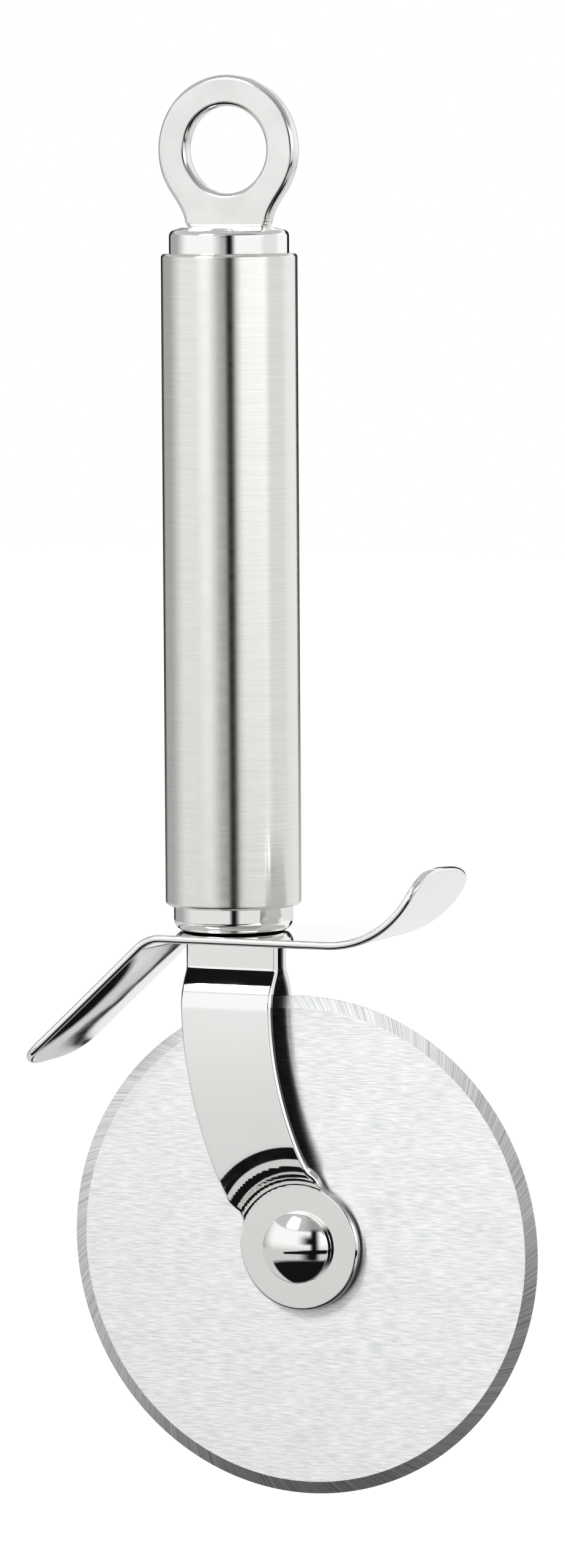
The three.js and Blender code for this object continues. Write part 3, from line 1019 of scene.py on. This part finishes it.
@dataclass
class Fork(SubAssembly):
    """Two joggled arms, mirror images, that carry the wheel between their round bosses."""

    neck_offset: float = 0.35  # of the neck's middle line from the handle's axis
    neck_width: float = 14.4
    foot_width: float = 13.7
    sheet: float = 1.4
    neck_depth: float = 0.8  # from the wheel's middle plane to an arm's inner face at the neck
    boss_depth: float = 0.9
    neck_length: float = 4.2
    outward_depth: float = 2.1
    outward_bends: tuple[float, float] = (0.9, 5.2)  # length of the bend out and of the bend back
    bow_depth: float = 0.3  # of the slight bow that carries the span further out
    bow_bends: tuple[float, float] = (3.0, 19.0)
    straight: float = 8.4  # length below the guard that is straight in the plane of the wheel
    meets_left: float = 2.85  # from the axle to the end of the curve
    meets_above: float = 6.8  # likewise, upwards
    boss_radius: float = 9.45
    boss_flat: float = 9.1  # radius at which the boss starts to rise to the span
    lead_share: float = 0.066  # share of the inward joggle that leads slowly into the dish
    lead_offset: float = 2.1  # from the flat of the boss to the slow lead
    lead_bends: tuple[float, float] = (3.5, 0.8)
    dish_share: float = 0.334  # share that is a wide dish; the rest is a narrow step
    dish_bends: tuple[float, float] = (1.5, 3.1)
    step_offset: float = 1.2  # from the flat of the boss to the narrow step
    step_bends: tuple[float, float] = (0.95, 0.95)
    edge_round: float = 0.45
    row: float = 0.3  # distance of the points along the edges
    corner_reach: int = 5  # points to each side of a corner that round it
    spacing: tuple[float, float] = (0.42, 0.42)
    facing_in: float = -0.5  # outward share of a normal below which a face is an inner one
    axle: Vector = field(init=False)
    guard: float = field(init=False)  # height of the guard's underside over the axle

    def __post_init__(self) -> None:
        """Take the places of the axle and the guard from the frame."""
        self.axle = sum(node_box("cutting_wheel"), Vector()) / 2
        self.guard = node_box("bottom_end_cap")[0].z - SEAT_GAP - FingerGuard.sheet - self.axle.z

    def build(self) -> Pieces:
        """Build both arms from one blank.

        Returns:
            The arms, by the names of their nodes.
        """
        blank = Blank(self._outline(), self.sheet, self.edge_round, spacing=self.spacing)
        return {
            f"{side.name.lower()}_arm": blank.formed(self._form(side)).piece(f"{side.name.lower()}_arm_polished")
            for side in Side
        }

    def _form(self, side: Side) -> Form:
        """Give the form of one arm's middle surface, as a place for each point of the blank."""
        return lambda x, z: self.axle + Vector((x, side.value * (self._depth(x, z) + self.sheet / 2), z))

    def _depth(self, x: float, z: float) -> float:
        """Give the distance of an arm's inner face from the wheel's middle plane.

        Args:
            x: Place to the right of the axle.
            z: Place above the axle.

        Returns:
            The distance.
        """
        below_neck = self.guard - z - self.neck_length
        bow = self.bow_depth * joggle(below_neck, *self.bow_bends)
        span = self.neck_depth + bow + self.outward_depth * joggle(below_neck, *self.outward_bends)
        past_boss = math.hypot(x, z) - self.boss_flat
        lead = joggle(past_boss - self.lead_offset, *self.lead_bends)
        dish = joggle(past_boss, *self.dish_bends)
        step = joggle(past_boss - self.step_offset, *self.step_bends)
        risen = step + (dish - step) * self.dish_share + (lead - step) * self.lead_share
        return self.boss_depth + (span - self.boss_depth) * risen

    def _outline(self) -> list[Vector]:
        """Draw the arm round its curved centre line and its boss, counter-clockwise from the top left.

        Returns:
            Points of the closed outline, seen from the axle.
        """
        start = self.neck_offset - self.axle.x
        top = self.guard - self.straight
        over, down = -self.meets_left - start, top - self.meets_above
        radius = (over**2 + down**2) / (2 * over)
        turn = 2 * math.atan2(over, down)
        onward = self.meets_left * math.sin(turn) + self.meets_above * math.cos(turn)
        left, right = [], []
        for along in np.arange(-self.straight, radius * turn + onward, self.row):
            angle = min(max(along / radius, 0), turn)
            before, after = min(along, 0), max(along - radius * turn, 0)
            x = start + radius * (1 - math.cos(angle)) + after * math.sin(angle)
            z = top - before - radius * math.sin(angle) - after * math.cos(angle)
            half = (self.neck_width + (self.foot_width - self.neck_width) * angle / turn) / 2
            across = unit(angle) * half
            left.append(Vector((x, z)) - across)
            right.append(Vector((x, z)) + across)
        left, right = self._above_boss(left), self._above_boss(right)
        from_angle = math.atan2(left[-1].y, left[-1].x)
        to_angle = math.atan2(right[-1].y, right[-1].x) + 2 * math.pi
        steps = round(self.boss_radius * (to_angle - from_angle) / self.row)
        boss = [unit(angle) * self.boss_radius for angle in np.linspace(from_angle, to_angle, steps)[1:-1]]
        outline = left + boss + right[::-1]
        for corner in (len(left), len(left) + len(boss)):
            self._blend(outline, corner, self.corner_reach)
        return outline

    def _above_boss(self, edge: list[Vector]) -> list[Vector]:
        """Keep the part of an edge that lies outside the boss."""
        outside = [point.length > self.boss_radius + self.row / 2 for point in edge]
        return edge[: outside.index(False)] if False in outside else edge

    @staticmethod
    def _blend(outline: list[Vector], corner: int, reach: int) -> None:
        """Round the inside corner that a punch leaves between strip and boss.

        Args:
            outline: Outline that is changed.
            corner: Number of the point at the corner.
            reach: How many points to each side move.
        """
        for _ in range(2 * reach):
            for i in range(corner - reach, corner + reach):
                outline[i] = (outline[i - 1] + outline[i] * 2 + outline[i + 1]) / 4

    def dress(self, pieces: Pieces, finishes: Finishes) -> None:
        """Polish both arms and give their inner faces the dull rolled finish, darkened with painted shade.

        Args:
            pieces: The arms.
            finishes: Finishes of the object.
        """
        for arm, side in zip(pieces.values(), Side):
            self.finish(arm, finishes.mirror, finishes.rolled_painted_shade)
            for polygon in arm.data.polygons:
                # faces that look in at the wheel take the tone darkened with painted shade
                polygon.material_index = int(polygon.normal.y * side.value < self.facing_in)


@dataclass
class CuttingWheel(SubAssembly):
    """Brushed disc with a ground bevel on both sides."""

    bore: float = 3.15
    bevel_width: float = 1.8
    cutting_edge: float = 0.15  # thickness left at the rim
    edge_round: float = 0.04
    edge_steps: int = 3
    grind_slant: float = -38.0  # of the grinding strokes from the radius, in degrees
    sides: int = 256
    centre: Vector = field(init=False)
    radius: float = field(init=False)
    half: float = field(init=False)  # half the thickness of the disc

    body = Body.WHEEL

    def __post_init__(self) -> None:
        """Take the place and the size of the disc from the frame."""
        low, high = node_box("cutting_wheel")
        self.centre = (low + high) / 2
        self.radius, self.half = (high.x - low.x) / 2, high.y

    @property
    def bevel_start(self) -> float:
        """Radius at which the bevels start."""
        return self.radius - self.bevel_width

    def build(self) -> Pieces:
        """Turn the disc about its axle.

        Returns:
            The disc, by the name of its node.
        """
        half, radius = self.half, self.radius
        corners = [
            (self.bore, -half, self.edge_round),
            (self.bevel_start, -half, self.edge_round),
            (radius, -self.cutting_edge / 2, self.edge_round),
            (radius, self.cutting_edge / 2, self.edge_round),
            (self.bevel_start, half, self.edge_round),
            (self.bore, half, self.edge_round),
        ]
        shape = turned(rounded_path(corners, True, self.edge_steps), True, Axis.REAR, self.centre, self.sides)
        return {"cutting_wheel": shape.piece("cutting_wheel_brushed")}

    def dress(self, pieces: Pieces, finishes: Finishes) -> None:
        """Brush the faces, grind the bevels and lay the strokes out over them.

        Args:
            pieces: The disc.
            finishes: Finishes of the object.
        """
        wheel = pieces["cutting_wheel"]
        self.finish(wheel, finishes.brushed, finishes.ground)
        mesh = wheel.data
        layout = mesh.uv_layers.new(name=WHEEL_LAYOUT).data
        slant = math.tan(math.radians(self.grind_slant))
        for polygon in mesh.polygons:
            middle = polygon.center / MM - self.centre
            on_bevel = math.hypot(middle.x, middle.z) > self.bevel_start
            polygon.material_index = int(on_bevel)
            for corner in polygon.loop_indices:
                place = mesh.vertices[mesh.loops[corner].vertex_index].co / MM - self.centre
                if on_bevel:
                    out = math.hypot(place.x, place.z)
                    angle = math.atan2(place.z, place.x) + (out - self.bevel_start) * slant / self.bevel_start
                    place = Vector((math.cos(angle), 0, math.sin(angle))) * self.bevel_start
                layout[corner].uv = (place.x * MM, place.z * MM)


@dataclass
class AxleRivet(SubAssembly):
    """Domed heads of the two-piece rivet, one on each boss."""

    seat: float = 2.3  # of a head from the wheel's middle plane
    rim: float = 1.25  # height of the straight rim below the dome
    rim_round: float = 0.45
    foot_round: float = 0.08
    foot_steps: int = 3
    edge_steps: int = 8
    dome_steps: int = 24
    sides: int = 128

    def build(self) -> Pieces:
        """Turn both heads.

        Returns:
            Heads by their nodes.
        """
        heads = {}
        for side, node in ((Side.FRONT, "axle_rivet"), (Side.REAR, "rivet_cap")):
            low, high = node_box(node)
            radius = (high.x - low.x) / 2
            height = max(-low.y, high.y) - self.seat
            centre = Vector(((low.x + high.x) / 2, side.value * self.seat, (low.z + high.z) / 2))
            shape = turned(self._profile(radius, height), False, Axis[side.name], centre, self.sides)
            heads[node] = shape.piece(f"{side.name.lower()}_rivet_head_polished")
        return heads

    def _profile(self, radius: float, height: float) -> list[PathPoint]:
        """Draw half a head: a straight rim, a rounded edge and a flat dome.

        Args:
            radius: Radius of the rim.
            height: Height of the crown over the seat.

        Returns:
            Points from the middle of the seat to the crown, with their normals.
        """
        bulge = height - self.rim
        sphere = (radius**2 + bulge**2) / (2 * bulge)
        crown = sphere - self.rim_round
        widest = math.asin((radius - self.rim_round) / crown)
        shoulder = Vector((radius - self.rim_round, height - sphere + crown * math.cos(widest)))
        foot = rounded_path([(0, 0, 0), (radius, 0, self.foot_round), (radius, shoulder.y, 0)], False, self.foot_steps)
        edge = [unit(angle) for angle in np.linspace(0, math.pi / 2 - widest, self.edge_steps)]
        dome = [Vector((math.sin(a), math.cos(a))) for a in np.linspace(widest, 0, self.dome_steps)[1:]]
        middle = Vector((0, height - sphere))
        return foot[:-1] + [(shoulder + n * self.rim_round, n) for n in edge] + [(middle + n * sphere, n) for n in dome]

    def dress(self, pieces: Pieces, finishes: Finishes) -> None:
        """Polish both heads."""
        for head in pieces.values():
            self.finish(head, finishes.mirror)


@dataclass
class HiddenFixings:
    """Pins, bush and washers of the frame, which keep their own shapes."""

    steel_nodes: tuple[str, ...] = ("ring_tang_pin", "fork_pin", "wheel_bush")
    nylon_nodes: tuple[str, ...] = ("front_washer", "rear_washer")

    def set_up(self, finishes: Finishes) -> None:
        """Give the nodes their finishes.

        Args:
            finishes: Finishes of the object.
        """
        for nodes, finish in ((self.steel_nodes, finishes.turned), (self.nylon_nodes, finishes.nylon)):
            for node in nodes:
                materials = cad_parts[node].data.materials
                materials.clear()
                materials.append(finish.material)
                log.info("%s stays, in %s", node, finish.name)


@dataclass(frozen=True)
class Card:
    """Studio card on a great dome round the object, which only polished steel sees."""

    name: str
    turn: tuple[float, float]  # azimuth of its left and right side from the camera's, in degrees
    edges: tuple[float, float]  # elevation of its lower and upper edge, in degrees
    tone: str
    soft: tuple[float, float, float, float]  # soft rim: left, right, below, above, in degrees
    strength: float = 1.0
    right_edges: tuple[float, float] | None = None  # elevation at the right side, where the edges slope
    rows: int = 24
    column: float = 2.0  # about how wide a column of faces is, in degrees
    fewest_columns: int = 8

    def hang(self, heading: float, centre: Vector, radius: float) -> None:
        """Make the card and mark it as part of the stage.

        Args:
            heading: Azimuth of the camera from -Y towards +X, in degrees.
            centre: Middle of the dome, in metres.
            radius: Radius of the dome, in metres.
        """
        left, right = self.edges, self.right_edges or self.edges
        width, rows = self.turn[1] - self.turn[0], self.rows
        columns = max(self.fewest_columns, round(width / self.column))
        points, covers = [], []
        for row in range(rows + 1):
            for column in range(columns + 1):
                across, up = column / columns, row / rows
                low = left[0] + (right[0] - left[0]) * across
                high = left[1] + (right[1] - left[1]) * across
                azimuth = math.radians(heading + self.turn[0] + width * across)
                elevation = math.radians(low + (high - low) * up)
                flat = Vector((math.sin(azimuth), -math.cos(azimuth), 0)) * math.cos(elevation)
                points.append(centre + (flat + Vector((0, 0, math.sin(elevation)))) * radius)
                spans = (width, width, high - low, high - low)
                reach = (across, 1 - across, up, 1 - up)
                covers.append(math.prod(ease(r * s / w) for r, s, w in zip(reach, spans, self.soft)))
        wide = columns + 1
        faces = [
            (row * wide + column, row * wide + column + 1, (row + 1) * wide + column + 1, (row + 1) * wide + column)
            for row in range(rows)
            for column in range(columns)
        ]
        mesh = bpy.data.meshes.new(self.name)
        mesh.from_pydata(points, [], faces)
        mesh.attributes.new("cover", "FLOAT", "POINT").data.foreach_set("value", covers)
        mesh.materials.append(self._material())
        card = linked(self.name, mesh)
        card.visible_camera = card.visible_diffuse = card.visible_shadow = card.visible_volume_scatter = False
        card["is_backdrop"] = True

    def _material(self) -> bpy.types.Material:
        """Make a plain tone that thins out towards the card's soft rim.

        Returns:
            The material.
        """
        material = empty_material(f"{self.name}_tone")
        tree = material.node_tree
        cover = add_node(tree, "ShaderNodeAttribute", attribute_name="cover")
        clear = add_node(tree, "ShaderNodeBsdfTransparent")
        tone = add_node(tree, "ShaderNodeEmission", {"Color": linear(self.tone), "Strength": self.strength})
        mixed = {0: cover.outputs["Fac"], 1: clear.outputs[0], 2: tone.outputs[0]}
        mix = add_node(tree, "ShaderNodeMixShader", mixed)
        add_node(tree, "ShaderNodeOutputMaterial", {"Surface": mix.outputs[0]})
        material.cycles.emission_sampling = "NONE"
        return material


@dataclass
class Studio:
    """White studio: a floor below the hanging tool, soft light, cards for the polished steel, and the camera."""

    camera_place: tuple[float, float, float] = (448.98, -1015.23, 7.49)
    heading: float = 23.48  # of the camera from -Y towards +X, in degrees
    pitch: float = 5.17  # down, in degrees
    roll: float = -0.37  # degrees
    focal_pixels: float = 12382.0  # focal length in pixels of the photograph
    image_height: float = 2560.0  # of the photograph, in pixels
    sensor: float = 36.0
    floor_below: float = 120.0  # distance of the floor below the tool
    floor_size: float = 8.0  # metres
    dome_centre: tuple[float, float, float] = (0.0, 0.0, -0.12)  # metres
    dome_radius: float = 3.0  # of the first card, in metres
    card_step: float = 0.05  # how much nearer each card hangs than the one before, which it hides
    lamp_place: tuple[float, float, float] = (-0.9, -1.1, 1.3)  # metres
    lamp_size: tuple[float, float] = (1.2, 0.9)  # metres
    lamp_power: float = 9.0
    even_light: float = 0.75  # of the world on the object, while it shows as white
    floor_glow: float = 0.5
    view_end: float = 100.0  # how far the camera sees, in metres
    cards: tuple[Card, ...] = (
        Card("ceiling", (-180, 180), (25, 89), "c3c3c3", (0.1, 0.1, 3, 0.1)),
        Card("ceiling_front", (-30, 70), (27, 70), "9c9c9c", (30, 15, 3, 20), right_edges=(23, 70)),
        Card("soft_box_high", (-66, -34), (27, 52), "ffffff", (10, 6, 8, 10), 13.0),
        Card("soft_box_right", (14, 104), (3, 22), "ffffff", (8, 40, 6, 4), 2.4),
        Card("table", (-180, 180), (-89, 1.5), "e9e9e8", (0.1, 0.1, 0.1, 7)),
        Card("table_near", (-180, 180), (-89, -5.5), "d0d0cf", (0.1, 0.1, 0.1, 6)),
        Card("right_wall", (58, 112), (-12, 26), "e8e8e8", (16, 12, 3, 3)),
        Card("left_wall", (-178, -84), (-12, 26), "a8a8a8", (2, 40, 3, 3)),
        Card("left_flag", (-176, -148), (-8, 20), "303030", (4, 5, 2, 3)),
        Card("right_flag", (146, 177), (-6, 20), "242424", (4, 4, 2, 3)),
        Card("gap_fade", (-36, 1), (-2, 24), "161616", (28, 1, 6, 14)),
        Card("gap_fade_low", (-34, 1), (-32, -8.5), "161616", (26, 1, 6, 2)),
        Card("camera_gap", (-9.5, 15), (-32, 34), "141414", (8, 12, 4, 8)),
        Card("front_gap_left", (-64, 0), (-17.5, -13), "0e0e0e", (4, 0.1, 1, 1), right_edges=(-17.5, -8.5)),
        Card("front_gap_right", (0, 62), (-17.5, -8.5), "0e0e0e", (0.1, 3, 1, 1), right_edges=(-16, -9)),
        Card("dark_floor", (-98, 62), (-89, -25.5), "141414", (3, 2, 0.1, 5), right_edges=(-89, -27)),
        Card("rear_light", (120, 180), (-27, -8), "efefef", (8, 1, 0.3, 4), right_edges=(-22.2, -8)),
        Card("rear_light_low", (110, 164), (-38, -20), "efefef", (8, 1.5, 3, 2)),
        Card("rear_floor", (156, 179), (-60, -25.8), "101010", (2, 1, 0.1, 1)),
        Card("rear_line", (160, 178), (-24, -23.1), "0c0c0c", (1, 1, 0.1, 0.1)),
    )

    def set_up(self) -> None:
        """Set up the floor, the light, the cards and the camera."""
        bpy.context.scene.view_settings.view_transform = "Standard"
        self._world()
        self._floor()
        self._lamp()
        for number, card in enumerate(self.cards):
            card.hang(self.heading, Vector(self.dome_centre), self.dome_radius - self.card_step * number)
        self._camera()

    @staticmethod
    def _seen(tree: bpy.types.NodeTree) -> bpy.types.NodeSocket:
        """Give 1 for rays from the camera and for what steel or glass shows of the studio, else 0.

        Args:
            tree: Node tree of a material or of the world.

        Returns:
            Socket with that value.
        """
        path = add_node(tree, "ShaderNodeLightPath").outputs
        either = {0: path["Is Camera Ray"], 1: path["Is Glossy Ray"]}
        mirrored = add_node(tree, "ShaderNodeMath", either, operation="MAXIMUM").outputs[0]
        seen = {0: mirrored, 1: path["Is Transmission Ray"]}
        return add_node(tree, "ShaderNodeMath", seen, operation="MAXIMUM").outputs[0]

    def _world(self) -> None:
        """Light the studio evenly from all round, in front of white."""
        world = bpy.data.worlds.new("white_studio")
        world.use_nodes = True
        tree = world.node_tree
        tree.nodes.clear()
        strength = {"Value": self._seen(tree), "To Min": self.even_light, "To Max": 1.0}
        level = add_node(tree, "ShaderNodeMapRange", strength)
        white = {"Color": linear("ffffff"), "Strength": level.outputs[0]}
        light = add_node(tree, "ShaderNodeBackground", white)
        add_node(tree, "ShaderNodeOutputWorld", {"Surface": light.outputs[0]})
        bpy.context.scene.world = world

    def _floor(self) -> None:
        """Lay the pale floor that the tool hangs over."""
        half, height = self.floor_size / 2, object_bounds()[0][2] - self.floor_below * MM
        mesh = bpy.data.meshes.new("studio_floor")
        corners = [(-half, -half, height), (half, -half, height), (half, half, height), (-half, half, height)]
        mesh.from_pydata(corners, [], [(0, 1, 2, 3)])
        material = empty_material("paper_white")
        tree = material.node_tree
        paper = add_node(tree, "ShaderNodeBsdfDiffuse", {"Color": linear("d9d9d9")})
        glow = {"Value": self._seen(tree), "To Min": 0.0, "To Max": self.floor_glow}
        level = add_node(tree, "ShaderNodeMapRange", glow)
        shine = add_node(tree, "ShaderNodeEmission", {"Strength": level.outputs[0]})
        both = add_node(tree, "ShaderNodeAddShader", {0: paper.outputs[0], 1: shine.outputs[0]})
        add_node(tree, "ShaderNodeOutputMaterial", {"Surface": both.outputs[0]})
        mesh.materials.append(material)
        floor = linked("studio_floor", mesh)
        floor.visible_glossy = False
        floor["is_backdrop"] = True

    def _lamp(self) -> None:
        """Hang a large soft lamp at the upper left, which steel doesn't mirror."""
        data = bpy.data.lights.new("soft_box", "AREA")
        data.shape, data.energy = "RECTANGLE", self.lamp_power
        data.size, data.size_y = self.lamp_size
        lamp = linked("soft_box", data)
        lamp.location = self.lamp_place
        lamp.rotation_euler = (-lamp.location).to_track_quat("-Z", "Y").to_euler()
        lamp.visible_glossy = lamp.visible_camera = False

    def _camera(self) -> None:
        """Set the camera where the photograph was taken from."""
        data = bpy.data.cameras.new("photo_camera")
        data.sensor_width = self.sensor
        data.lens = self.sensor * self.focal_pixels / self.image_height
        data.clip_end = self.view_end
        camera = linked("photo_camera", data)
        aim = Matrix.Rotation(math.radians(self.heading), 4, "Z")
        aim @= Matrix.Rotation(math.radians(90 - self.pitch), 4, "X")
        aim @= Matrix.Rotation(math.radians(self.roll), 4, "Z")
        camera.matrix_world = Matrix.Translation(Vector(self.camera_place) * MM) @ aim
        bpy.context.scene.camera = camera


def main() -> None:
    """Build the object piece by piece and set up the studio."""
    logging.basicConfig(level=logging.INFO, format="%(name)s: %(message)s")
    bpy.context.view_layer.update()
    finishes = Finishes()
    for part in (HangingRing(), Handle(), FingerGuard(), Fork(), CuttingWheel(), AxleRivet(), HiddenFixings()):
        part.set_up(finishes)
    Studio().set_up()


if __name__ == "__main__":
    main()
